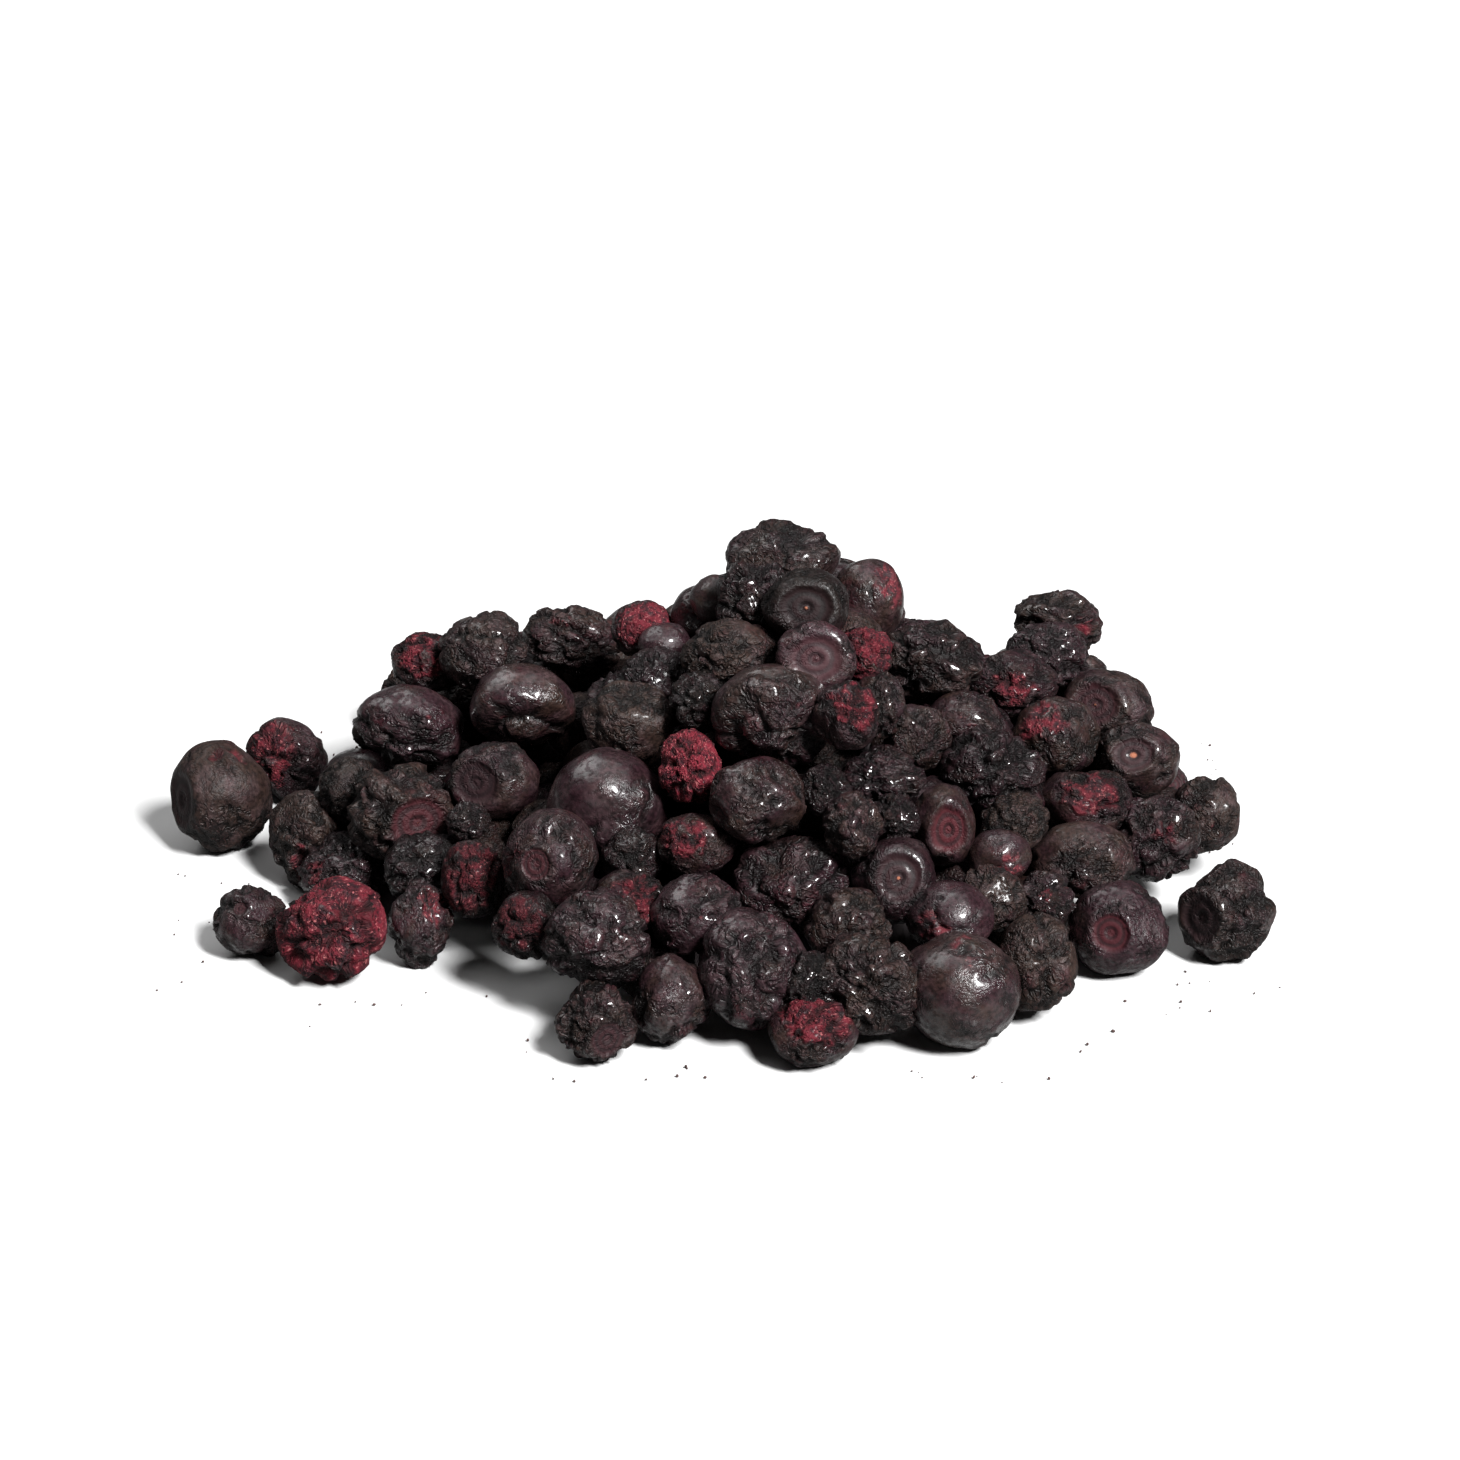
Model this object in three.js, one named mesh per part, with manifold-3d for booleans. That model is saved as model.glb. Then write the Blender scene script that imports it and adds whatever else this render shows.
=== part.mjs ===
// Freeze-dried wild blueberries heaped on a bare surface, with single berries lying round the foot.
// Millimetres, +Z up, the front of the heap towards -Y.

import * as THREE from 'three';
import { mergeVertices } from 'three/addons/utils/BufferGeometryUtils.js';
import Module from 'manifold-3d';

const wasm = await Module();
wasm.setup();
const { Manifold, Mesh } = wasm;

// The outline of the heap: each hump is a rounded cone, and the highest one counts
const humps = [
  { x: 6, y: 0, height: 35, reach: 45, fullness: 1.05 },
  { x: -19, y: 7, height: 24, reach: 24, fullness: 1.8 },
  { x: 29, y: 8, height: 25, reach: 22, fullness: 1.3 },
  { x: -2, y: -14, height: 22, reach: 31, fullness: 1.1 },
];

// One berry: a round body with a ringed crown around a shallow pit
const meanBerry = 9.1;
const berrySpread = 1.4;
const heapFacets = 7;
const heapRings = 3;
const crownedShare = 0.4;
const looseFacets = 12;
const looseRings = 4;
const crownRing = 0.46;
const crownPit = 0.3;
const pitDepth = 0.24;
const stemEnd = 0.97;
const dentDepth = 0.07;

// The layer of berries over the heap, out to where the outline is as low as one berry's middle
const heapMiddle = { x: 4, y: -1 };
const layerCount = 93;
const layerJitter = 1.4;
const footHeight = 4.4;
const farthestFoot = 60;
const reachStep = 0.25;
const restSink = 0.94;
const closestShare = 0.6;
const lowLayer = 1.2;
const crownLean = { forward: 1.2, down: 0.6 };

// The packed inside of the heap, below the outer layer
const coreDepth = 5;
const coreRimHeight = 0.6;
const coreShare = 0.9;
const coreRings = 6;
const coreSpokes = 18;

// Berries lying at the foot, each its own solid
const footGap = 0.35;
const footFlat = 0.25;
const footBerries = {
  berry_left: { x: -45.4, y: 2.7, size: 9.9, crown: [-1, -0.25, 0] },
  berry_left_rear: { x: -41.3, y: 12.6, size: 8.2, crown: [0.6, 0.7, 0.3] },
  berry_left_front: { x: -41.2, y: -18.6, size: 6.4, crown: [-0.2, -0.7, 0.7] },
  berry_front_torn: { x: -33.1, y: -22.4, size: 9.0, crown: [0, -0.2, 1] },
  berry_front_small: { x: -24.6, y: -21.0, size: 7.0, crown: [0.6, -0.6, 0.5] },
  berry_front_crowned: { x: -10.7, y: -37.0, size: 6.8, crown: [0.6, -0.8, -0.1] },
  berry_front_middle: { x: -3.2, y: -36.0, size: 7.2, crown: [-0.3, 0.4, 0.9] },
  berry_front_red: { x: 8.2, y: -39.4, size: 7.2, crown: [0.1, -0.9, 0.3] },
  berry_front_large: { x: 20.0, y: -36.4, size: 9.6, crown: [0.1, 0.2, 1] },
  berry_front_right: { x: 34.2, y: -23.0, size: 8.6, crown: [-0.5, -0.8, 0.1] },
  berry_right: { x: 44.6, y: -18.8, size: 8.8, crown: [-0.8, -0.5, -0.1] },
};

// Skins of the berries
const skin = new THREE.MeshStandardMaterial({ name: 'skin', color: 0x3a2f33, roughness: 0.62 });
const tornSkin = new THREE.MeshStandardMaterial({ name: 'torn_skin', color: 0x6e2a34, roughness: 0.75 });
const tornNames = ['berry_left_rear', 'berry_front_torn', 'berry_front_red'];

// A repeatable number from 0 to 1 for a whole number
function chance(index, salt) {
  const wave = Math.sin(index * 12.9898 + salt * 78.233) * 43758.5453;
  return wave - Math.floor(wave);
}

// Height of the heap's outline over a point of the floor
function outline(x, y) {
  let highest = 0;
  for (const hump of humps) {
    const away = Math.hypot(x - hump.x, y - hump.y) / hump.reach;
    if (away < 1) {
      highest = Math.max(highest, hump.height * (1 - Math.pow(away, hump.fullness)));
    }
  }
  return highest;
}

function fromMiddle(angle, far) {
  return [heapMiddle.x + far * Math.cos(angle), heapMiddle.y + far * Math.sin(angle)];
}

// How far the heap reaches from its middle in one direction
function footReach(angle) {
  let reach = farthestFoot;
  while (outline(...fromMiddle(angle, reach)) < footHeight) {
    reach -= reachStep;
  }
  return reach;
}

function toSolid(geometry) {
  geometry.deleteAttribute('normal');
  geometry.deleteAttribute('uv');
  const joined = mergeVertices(geometry, 1e-4);
  return new Manifold(new Mesh({
    numProp: 3,
    vertProperties: new Float32Array(joined.attributes.position.array),
    triVerts: new Uint32Array(joined.index.array),
  }));
}

function toMesh(solid, name, material) {
  const shape = solid.getMesh();
  const geometry = new THREE.BufferGeometry();
  geometry.setAttribute('position', new THREE.BufferAttribute(shape.vertProperties, 3));
  geometry.setIndex(new THREE.BufferAttribute(shape.triVerts, 1));
  geometry.computeVertexNormals();
  const mesh = new THREE.Mesh(geometry, material);
  mesh.name = name;
  return mesh;
}

// Profile of a berry of radius 1, from the stem end up to the top or to the pit of the crown
function berryProfile(rings, crowned) {
  const profile = [new THREE.Vector2(0, -stemEnd)];
  const shoulder = crowned ? Math.asin(crownRing) : Math.PI / (rings + 1);
  for (let ring = 1; ring <= rings; ring += 1) {
    const polar = Math.PI - (ring / rings) * (Math.PI - shoulder);
    profile.push(new THREE.Vector2(Math.sin(polar), Math.cos(polar)));
  }
  if (!crowned) {
    profile.push(new THREE.Vector2(0, stemEnd));
    return profile;
  }
  const pitFloor = Math.cos(shoulder) - pitDepth;
  profile.push(new THREE.Vector2(crownPit, pitFloor), new THREE.Vector2(0, pitFloor));
  return profile;
}

// A dried berry with shallow dents all over, its crown turned to one side and its middle at a place
function berrySolid(berry, middle, profile, facets, salt) {
  const geometry = new THREE.LatheGeometry(profile, facets);
  const place = geometry.attributes.position;
  const spot = new THREE.Vector3();
  for (let index = 0; index < place.count; index += 1) {
    spot.fromBufferAttribute(place, index);
    const around = Math.atan2(spot.z, spot.x);
    const fold = Math.sin(around * 2 + salt) * Math.sin(spot.y * 4 + salt * 3);
    const swell = 1 + dentDepth * fold * Math.min(1, Math.hypot(spot.x, spot.z) * 2);
    spot.multiplyScalar((swell * berry.size) / 2);
    place.setXYZ(index, spot.x, spot.y, spot.z);
  }
  const turn = new THREE.Quaternion();
  turn.setFromUnitVectors(new THREE.Vector3(0, 1, 0), new THREE.Vector3(...berry.crown).normalize());
  geometry.applyQuaternion(turn).translate(...middle);
  return toSolid(geometry);
}

// The packed inside of the heap: a low dome that keeps below the outline
function coreSolid() {
  const top = outline(heapMiddle.x, heapMiddle.y) - coreDepth;
  const positions = [heapMiddle.x, heapMiddle.y, 0, heapMiddle.x, heapMiddle.y, top];
  const faces = [];
  const corner = (ring, spoke) => 2 + (ring - 1) * coreSpokes + (spoke % coreSpokes);
  for (let ring = 1; ring <= coreRings; ring += 1) {
    for (let spoke = 0; spoke < coreSpokes; spoke += 1) {
      const angle = (spoke / coreSpokes) * 2 * Math.PI;
      const [x, y] = fromMiddle(angle, (coreShare * footReach(angle) * ring) / coreRings);
      positions.push(x, y, Math.max(coreRimHeight, outline(x, y) - coreDepth));
    }
  }
  const rim = positions.length / 3;
  for (let spoke = 0; spoke < coreSpokes; spoke += 1) {
    const start = corner(coreRings, spoke) * 3;
    positions.push(positions[start], positions[start + 1], 0);
  }
  for (let spoke = 0; spoke < coreSpokes; spoke += 1) {
    const next = (spoke + 1) % coreSpokes;
    faces.push(1, corner(1, spoke), corner(1, next));
    faces.push(0, rim + next, rim + spoke);
    for (let ring = 1; ring < coreRings; ring += 1) {
      faces.push(corner(ring, spoke), corner(ring + 1, spoke), corner(ring + 1, next));
      faces.push(corner(ring, spoke), corner(ring + 1, next), corner(ring, next));
    }
    faces.push(corner(coreRings, spoke), rim + spoke, rim + next);
    faces.push(corner(coreRings, spoke), rim + next, corner(coreRings, next));
  }
  return new Manifold(new Mesh({
    numProp: 3,
    vertProperties: new Float32Array(positions),
    triVerts: new Uint32Array(faces),
  }));
}

// Whether a berry of the layer would stand in the place of one at the foot
function meetsFootBerry(x, y, size) {
  return Object.values(footBerries).some((berry) => {
    const apart = Math.hypot(x - berry.x, y - berry.y);
    return apart < (closestShare * (size + berry.size)) / 2 && outline(x, y) < size * lowLayer;
  });
}

// Berries spread evenly over the heap in a spiral, the lowest ones standing on the floor
function layerSolids() {
  const solids = [];
  const goldenTurn = Math.PI * (3 - Math.sqrt(5));
  for (let index = 0; index < layerCount; index += 1) {
    const size = meanBerry + berrySpread * (2 * chance(index, 1) - 1);
    const angle = index * goldenTurn;
    const far = footReach(angle) * Math.sqrt((index + 0.5) / layerCount);
    const [evenX, evenY] = fromMiddle(angle, far);
    const x = evenX + layerJitter * (2 * chance(index, 2) - 1);
    const y = evenY + layerJitter * (2 * chance(index, 3) - 1);
    if (meetsFootBerry(x, y, size)) {
      continue;
    }
    const z = Math.max(outline(x, y) - size / 2, (size / 2) * restSink);
    const crown = [
      2 * chance(index, 4) - 1,
      2 * chance(index, 5) - crownLean.forward,
      2 * chance(index, 6) - crownLean.down,
    ];
    const profile = berryProfile(heapRings, chance(index, 7) < crownedShare);
    solids.push(berrySolid({ size, crown }, [x, y, z], profile, heapFacets, index));
  }
  return solids;
}

// Middle of a berry that stands on the floor
function footMiddle(berry) {
  return [berry.x, berry.y, (berry.size / 2) * restSink];
}

// Room kept free in the heap round each berry at the foot
function footRoom(berry) {
  const room = new THREE.IcosahedronGeometry((berry.size / 2) * (1 + dentDepth) + footGap, 2);
  return toSolid(room.translate(...footMiddle(berry)));
}

// The outer surface alone, without the pockets closed in between berries
function withoutPockets(solid) {
  const shape = solid.getMesh();
  const owner = Array.from({ length: shape.numVert }, (unused, index) => index);
  const ownerOf = (start) => {
    let index = start;
    while (owner[index] !== index) {
      index = owner[index];
    }
    owner[start] = index;
    return index;
  };
  for (let face = 0; face < shape.numTri; face += 1) {
    const [first, second, third] = shape.verts(face);
    owner[ownerOf(second)] = ownerOf(first);
    owner[ownerOf(third)] = ownerOf(first);
  }
  const facesOf = new Map();
  for (let face = 0; face < shape.numTri; face += 1) {
    const corners = shape.verts(face);
    const shell = ownerOf(corners[0]);
    facesOf.set(shell, [...(facesOf.get(shell) ?? []), ...corners]);
  }
  const outer = [...facesOf.values()].sort((first, second) => second.length - first.length)[0];
  return new Manifold(new Mesh({
    numProp: 3,
    vertProperties: shape.vertProperties,
    triVerts: new Uint32Array(outer),
  }));
}

function aboveFloor(solid) {
  return solid.trimByPlane([0, 0, 1], footFlat);
}

function heapSolid() {
  const rooms = Manifold.union(Object.values(footBerries).map(footRoom));
  const packed = Manifold.union([coreSolid(), ...layerSolids()]).subtract(rooms);
  const pieces = aboveFloor(packed).decompose();
  pieces.sort((first, second) => second.volume() - first.volume());
  return withoutPockets(pieces[0]);
}

function footSolid(name, index) {
  const berry = footBerries[name];
  const profile = berryProfile(looseRings, true);
  return aboveFloor(berrySolid(berry, footMiddle(berry), profile, looseFacets, index + layerCount));
}

// The whole, moved so that it stands on Z = 0 with its middle over the origin
function wholeHeap() {
  const group = new THREE.Group();
  group.name = 'freeze_dried_wild_blueberries';
  group.add(toMesh(heapSolid(), 'heap', skin));
  Object.keys(footBerries).forEach((name, index) => {
    const material = tornNames.includes(name) ? tornSkin : skin;
    group.add(toMesh(footSolid(name, index), name, material));
  });
  const box = new THREE.Box3().setFromObject(group);
  const middle = box.getCenter(new THREE.Vector3());
  for (const mesh of group.children) {
    mesh.geometry.translate(-middle.x, -middle.y, -box.min.z);
  }
  return group;
}

export default wholeHeap();
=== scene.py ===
# A heap of freeze-dried wild blueberries with strays round its foot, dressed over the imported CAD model
# Sizes are millimetres until a mesh is made; Blender itself works in metres

import math

import bmesh
import bpy
import numpy as np
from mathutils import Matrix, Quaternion, Vector
from mathutils.bvhtree import BVHTree


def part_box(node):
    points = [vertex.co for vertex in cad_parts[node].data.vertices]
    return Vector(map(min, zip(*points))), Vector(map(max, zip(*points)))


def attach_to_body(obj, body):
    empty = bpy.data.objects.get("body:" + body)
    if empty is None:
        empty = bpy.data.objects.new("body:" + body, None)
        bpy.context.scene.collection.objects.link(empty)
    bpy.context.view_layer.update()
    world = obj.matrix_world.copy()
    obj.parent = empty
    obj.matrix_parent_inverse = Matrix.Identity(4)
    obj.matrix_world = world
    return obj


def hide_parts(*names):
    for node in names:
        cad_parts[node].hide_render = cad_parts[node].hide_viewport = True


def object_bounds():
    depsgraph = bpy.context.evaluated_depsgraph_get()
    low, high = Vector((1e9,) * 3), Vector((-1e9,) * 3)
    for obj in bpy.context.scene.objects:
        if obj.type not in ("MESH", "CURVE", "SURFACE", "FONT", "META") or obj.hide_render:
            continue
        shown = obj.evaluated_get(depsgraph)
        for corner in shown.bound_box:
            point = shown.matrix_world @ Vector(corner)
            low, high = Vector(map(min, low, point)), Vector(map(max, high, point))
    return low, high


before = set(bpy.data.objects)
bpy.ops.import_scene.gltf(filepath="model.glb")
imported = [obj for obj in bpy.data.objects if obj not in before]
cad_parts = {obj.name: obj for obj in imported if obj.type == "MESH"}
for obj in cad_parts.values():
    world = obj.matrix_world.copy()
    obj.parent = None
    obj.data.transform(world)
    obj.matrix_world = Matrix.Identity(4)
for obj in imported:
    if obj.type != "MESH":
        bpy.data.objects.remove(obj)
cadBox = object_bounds()
print("the frame is loaded")

metre = 0.001            # one millimetre in Blender's units
dice = np.random.default_rng(23)
heapLow, heapHigh = (np.array(corner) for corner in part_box("heap"))
heapMiddle = (heapLow + heapHigh)[:2] / 2 / metre
heapHalf = (heapHigh - heapLow)[:2] / 2 / metre


def showObject(name, data):
    made = bpy.data.objects.new(name, data)
    bpy.context.scene.collection.objects.link(made)
    return made


def valuesOf(berries, key):
    return np.array([berry[key] for berry in berries])


# Camera

view = {
    "imageSize": 1460,   # pixels of the square picture
    "elevation": 25.0,   # degrees above the floor
    "distance": 362.0,
    "lens": 100.0,
    "sensor": 36.0,
    "target": (1.4, 0.5, 12.5),
}
lean = math.radians(view["elevation"])
ahead = np.array((0.0, math.cos(lean), -math.sin(lean)))
upward = np.array((0.0, math.sin(lean), math.cos(lean)))
sideways = np.array((1.0, 0.0, 0.0))
eye = np.array(view["target"]) - ahead * view["distance"]
focal = view["lens"] / view["sensor"] * view["imageSize"]


def addCamera():
    camera = showObject("camera", bpy.data.cameras.new("camera"))
    camera.data.lens = view["lens"]
    camera.data.sensor_width = view["sensor"]
    camera.data.clip_start = 0.01
    camera.location = Vector(eye) * metre
    camera.rotation_euler = (math.pi / 2 - lean, 0, 0)
    bpy.context.scene.camera = camera


def sightLine(pixel):
    # direction from the camera through a pixel of the picture
    across, down = (value - view["imageSize"] / 2 for value in pixel)
    line = ahead + sideways * across / focal - upward * down / focal
    return line / np.linalg.norm(line)


def inPicture(points):
    # pixels and depths of points
    apart = points - eye
    depth = apart @ ahead
    half = view["imageSize"] / 2
    return half + focal * (apart @ sideways) / depth, half - focal * (apart @ upward) / depth, depth


def seenAim(aim):
    # a direction from where it shows on a berry: shares of its half width and half height
    if len(aim) == 3:
        return Vector(aim).normalized()
    nearness = math.sqrt(max(0.0, 1 - aim[0] ** 2 - aim[1] ** 2))
    return Vector(sideways * aim[0] + upward * aim[1] - ahead * nearness).normalized()


# The berries that show from the front. "at" is the pixel of a berry's middle, "size" its width and
# height. "crown", "torn" and "hollow" say where these show, as shares of half the width and height
# to the right and upwards; with three values they are directions in the frame. Each berry draws its own
# random values, and another "salt" gives it others.
# "shade" scales a berry's colour: its own lighter or darker tone, and painted shade on the berries that lie
# deep in the heap's dark gaps
shownBerries = {
    "smooth": [
        dict(at=(523, 705), size=(9.4, 7.4), tint=0.5, hollow=(0.05, -0.8), dent=0.34, torn=(-0.47, 0.17),
             tear=0.02),
        dict(at=(608, 806), size=(10.5, 10.2), tint=0.1, shade=0.85, hollow=(0.1, -0.8), dent=0.16, salt=8),
        dict(at=(665, 645), size=(4.8, 4.0), tint=0.1),
        dict(at=(867, 600), size=(6.6, 7.4), tint=0.5, torn=(0.75, 0.4), tear=0.12),
        dict(at=(703, 615), size=(5.8, 5.4), tint=0.3, torn=(-0.1, 0.3), tear=0.12),
        dict(at=(716, 600), size=(4.7, 4.5), tint=0.6),
        dict(at=(1000, 857), size=(5.4, 4.8), tint=0.4, torn=(0.4, -0.3), tear=0.08),
        dict(at=(950, 915), size=(7.4, 5.8), tint=0.0, torn=(-0.5, -0.1), tear=0.09),
    ],
    "folded": [
        dict(at=(774, 718), size=(10.7, 9.2), tint=0.5, hollow=(0, -0.6), dent=0.34, torn=(0.5, 0.25),
             tear=0.02),
        dict(at=(754, 969), size=(9.3, 10.2), tint=0.2, hollow=(0.15, 0.3), dent=0.12, torn=(0.7, 0.4),
             tear=0.03),
        dict(at=(1083, 861), size=(9.2, 7.0), tint=0.7, hollow=(0.4, -0.7), dent=0.1, torn=(-0.8, -0.5),
             tear=0.05),
        dict(at=(783, 563), size=(10.2, 8.0), tint=0.5, shade=0.9, hollow=(-0.2, 0.6), dent=0.3),
        dict(at=(312, 839), size=(7.8, 8.8), tint=0.8, torn=(0.1, -0.6), tear=0.1),
        dict(at=(408, 727), size=(10.0, 7.7), tint=0.2, hollow=(-0.45, -0.75), dent=0.16, torn=(0.2, 0.3),
             tear=0.03),
        dict(at=(628, 722), size=(8.0, 7.2), tint=0.9),
        dict(at=(918, 740), size=(5.9, 6.2), tint=0.6, hollow=(0.3, -0.6), dent=0.25),
        dict(at=(1056, 738), size=(8.0, 7.4), tint=0.6, torn=(-0.45, 0.45), tear=0.12),
        dict(at=(1138, 760), size=(7.6, 6.8), tint=0.6, crown=(-0.15, 0.15), ring=0.5, pip=1.8),
        dict(at=(1035, 962), size=(7.0, 8.4), tint=0.9, hollow=(-0.4, 0.2), dent=0.1),
        dict(at=(758, 800), size=(8.2, 7.4), tint=0.5),
        dict(at=(792, 886), size=(10.0, 8.6), tint=0.3, hollow=(0.1, -0.1), dent=0.2),
        dict(at=(965, 718), size=(6.8, 5.0), tint=0.4),
    ],
    "wrinkled": [
        dict(at=(853, 825), size=(5.2, 5.8), tint=0.5, shade=1.3),
        dict(at=(352, 790), size=(6.0, 6.0), tint=0.8, shade=0.6),
        dict(at=(348, 867), size=(9.2, 6.4), tint=0.2, shade=0.8, torn=(-0.6, 0), tear=0.08),
        dict(at=(483, 652), size=(8.2, 7.5), tint=0.6),
        dict(at=(732, 655), size=(9.0, 6.4), tint=0.9),
        dict(at=(880, 705), size=(4.7, 5.8), tint=0.5),
        dict(at=(1046, 656), size=(7.8, 6.2), tint=0.1),
        dict(at=(1204, 815), size=(6.4, 7.0), tint=0.8),
        dict(at=(992, 898), size=(5.8, 5.8), tint=0.8),
        dict(at=(1015, 822), size=(5.9, 5.4), tint=0.9),
        dict(at=(848, 926), size=(7.4, 6.4), tint=0.7),
        dict(at=(698, 913), size=(8.2, 7.0), tint=0.2),
        dict(at=(596, 940), size=(9.1, 8.8), tint=0.3),
        dict(at=(632, 856), size=(5.6, 5.2), tint=0.4, shade=0.6),
        dict(at=(826, 790), size=(4.6, 4.6), tint=0.3, shade=0.6),
        dict(at=(468, 822), size=(4.0, 3.6), tint=0.4, shade=0.7),
        dict(at=(428, 868), size=(7.6, 6.6), tint=0.3, shade=0.5),
    ],
    "gnarled": [
        dict(at=(814, 984), size=(5.6, 5.6), tint=0.4, shade=0.5),
        dict(at=(872, 984), size=(8.6, 8.6), tint=0.6),
        dict(at=(1157, 838), size=(7.6, 7.8), tint=0.3, torn=(0, 0.1), tear=0.04),
        dict(at=(403, 814), size=(10.2, 9.1), tint=0.7, crown=(0.44, -0.22), ring=0.58, blush=0.5, pip=0.3),
        dict(at=(572, 642), size=(9.4, 6.8), tint=0.6, torn=(-0.45, 0.4), tear=0.05),
        dict(at=(654, 686), size=(7.2, 7.0), tint=0.1, shade=0.55),
        dict(at=(754, 606), size=(6.8, 7.6), tint=0.3, shade=0.6),
        dict(at=(932, 662), size=(9.4, 7.6), tint=0.6, shade=0.85, hollow=(-0.5, -0.6), dent=0.15),
        dict(at=(1058, 622), size=(8.2, 6.0), tint=0.6, torn=(0.5, -0.1), tear=0.06, hollow=(-0.5, 0.2),
             dent=0.08),
        dict(at=(993, 770), size=(9.3, 7.9), tint=0.2, shade=0.65),
        dict(at=(880, 778), size=(8.0, 5.7), tint=0.2, shade=0.85, hollow=(-0.55, 0.1), dent=0.1),
        dict(at=(895, 818), size=(4.3, 4.3), tint=0.3, shade=0.7),
        dict(at=(700, 702), size=(5.4, 5.4), tint=0.5, shade=0.5),
        dict(at=(1045, 898), size=(5.2, 4.7), tint=0.4, torn=(0, 0.1), tear=0.07),
    ],
    "crowned": [
        dict(at=(1108, 706), size=(8.3, 6.8), tint=0.6, crown=(-0.42, 0.1), ring=0.6, pip=0.6),
        dict(at=(493, 780), size=(8.2, 6.8), tint=0.4, crown=(-0.45, -0.1), ring=0.6),
        dict(at=(550, 859), size=(8.2, 8.6), tint=0.4, crown=(-0.27, -0.08), ring=0.34, torn=(-0.9, -0.1),
             tear=0.08),
        dict(at=(805, 606), size=(7.6, 6.6), tint=0.7, shade=0.3, crown=(0, -0.05), ring=0.66, pip=0.8),
        dict(at=(816, 658), size=(7.0, 6.4), tint=0.2, shade=1.4, crown=(0.02, 0.02), ring=0.7),
        dict(at=(893, 880), size=(7.2, 7.4), tint=0.1, shade=0.65, crown=(0.05, 0.1), ring=0.6, pip=0.9),
        dict(at=(943, 825), size=(5.5, 7.1), tint=0.5, crown=(0.15, -0.2), ring=0.62, pip=0.3, blush=0.8),
    ],
    "torn": [
        dict(at=(1012, 684), size=(8.2, 6.4), tint=0.3, torn=(-0.15, -0.2), tear=0.12, hollow=(0.1, -0.2),
             dent=0.12),
        dict(at=(432, 662), size=(7.5, 5.5), tint=0.4, torn=(0, 0.4), tear=0.24),
        dict(at=(643, 628), size=(5.7, 5.0), tint=0.3, torn=(0.2, 0.4), tear=0.3),
        dict(at=(474, 879), size=(5.7, 6.9), tint=0.5, shade=0.6, torn=(-0.2, 0.3), tear=0.34,
             hollow=(0.45, 0.2), dent=0.14),
        dict(at=(690, 766), size=(5.4, 6.4), tint=0.4, shade=1.55, torn=(0, 0), tear=1.0),
        dict(at=(697, 845), size=(6.8, 5.4), tint=0.5, torn=(-0.45, 0.3), tear=0.16),
        dict(at=(865, 655), size=(5.0, 5.0), tint=0.4, torn=(-0.1, 0.2), tear=0.55),
        dict(at=(845, 715), size=(5.7, 5.9), tint=0.3, torn=(0.4, 0.45), tear=0.2),
        dict(at=(1087, 804), size=(8.6, 6.0), tint=0.4, shade=0.8, torn=(0.1, 0.3), tear=0.16),
        dict(at=(632, 900), size=(6.6, 5.6), tint=0.4, shade=0.8, torn=(0.1, 0.1), tear=0.18),
        dict(at=(527, 925), size=(6.0, 5.8), tint=0.4, shade=0.45, torn=(-0.4, 0.1), tear=0.25),
    ],
}

# The single berries at the foot, each in the place of its CAD node
footBerries = {
    "berry_left": dict(
        look="crowned", at=(221, 796), size=(9.3, 10.2), tint=0.85, shade=0.85, crown=(-0.84, -0.08),
        ring=0.55, torn=(0.25, 0.78), tear=0.05),
    "berry_left_rear": dict(
        look="torn", at=(284, 760), size=(8.3, 8.0), tint=0.3, torn=(-0.6, 0.1), tear=0.27,
        hollow=(-0.35, -0.3), dent=0.26),
    "berry_left_front": dict(
        look="wrinkled", at=(250, 921), size=(6.5, 6.2), tint=0.4, crown=(-0.25, 0.4), ring=0.2),
    "berry_front_torn": dict(
        look="torn", at=(332, 928), size=(9.6, 8.9), tint=0.2, shade=1.12, crown=(0.9, 0.15), ring=0.3,
        torn=(-0.1, 0.2), tear=0.84, hollow=(-0.05, 0.55), dent=0.12,
        shape={"Lump Height": 0.2, "Flatness": 0.16, "Fold Scale": 0.9, "Fold Depth": 0.05,
               "Wrinkle Height": 0.02, "Flesh Height": 0.03, "Slit Depth": 0.13}),
    "berry_front_small": dict(
        look="wrinkled", at=(421, 926), size=(5.8, 7.4), tint=0.3, torn=(0.45, 0.5), tear=0.1),
    "berry_front_crowned": dict(
        look="gnarled", at=(596, 1021), size=(6.9, 6.8), tint=0.6, crown=(0.45, -0.4), ring=0.5),
    "berry_front_middle": dict(look="folded", at=(671, 999), size=(6.7, 7.6), tint=0.5),
    "berry_front_red": dict(
        look="torn", at=(813, 1030), size=(7.5, 6.1), tint=0.4, torn=(0.1, 0.65), tear=0.24),
    "berry_front_large": dict(
        look="smooth", at=(960, 990), size=(10.1, 9.8), tint=0.5, salt=1, dent=0.02, crown=(0.3, 0.9, 0.3),
        torn=(0, 0.7), tear=0.07,
        shape={"Fold Depth": 0.05, "Wrinkle Height": 0.04, "Smooth Share": 0.4}),
    "berry_front_right": dict(
        look="crowned", at=(1118, 927), size=(8.6, 8.1), tint=0.1, crown=(-0.3, -0.07), ring=0.42,
        blush=0.6),
    "berry_right": dict(
        look="folded", at=(1226, 910), size=(8.4, 8.9), tint=0.6, shade=0.8, crown=(-0.74, -0.15),
        ring=0.56, hollow=(0.15, 0.1), dent=0.14),
}


# Where the berries lie

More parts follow.
